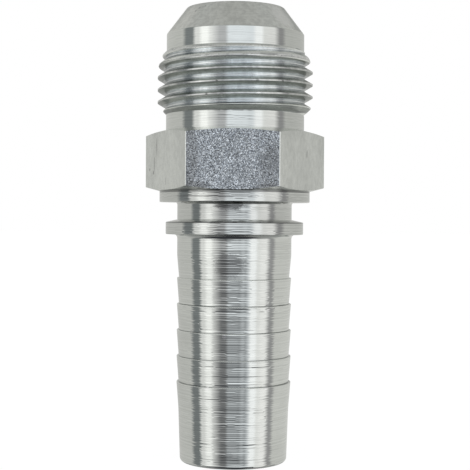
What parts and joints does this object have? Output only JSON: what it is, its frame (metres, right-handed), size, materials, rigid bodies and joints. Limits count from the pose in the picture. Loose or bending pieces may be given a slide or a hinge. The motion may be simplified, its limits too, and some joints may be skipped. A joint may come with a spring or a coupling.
{
  "type": "hydraulic hose insert",
  "caption": "Turned steel hose insert with a barbed tail, a ferrule lock groove, a wrench hexagon and a male threaded 37 degree flare end on a through bore.",
  "frame": {"origin": "centre of the tail's end face, on the bore's axis, at the height of the surface the part stands on", "axes": "+Z along the bore, from the tail end to the flare nose; two flats of the hexagon face -Y and +Y, and two of its corners lie on X"},
  "size_m": [0.0312, 0.027, 0.0786],
  "materials": {
    "zinc_plated_steel": "bright zinc plate over fine turning lines"
  },
  "bodies": {
    "root": {"hose_insert": "zinc_plated_steel"}
  },
  "joints": []
}
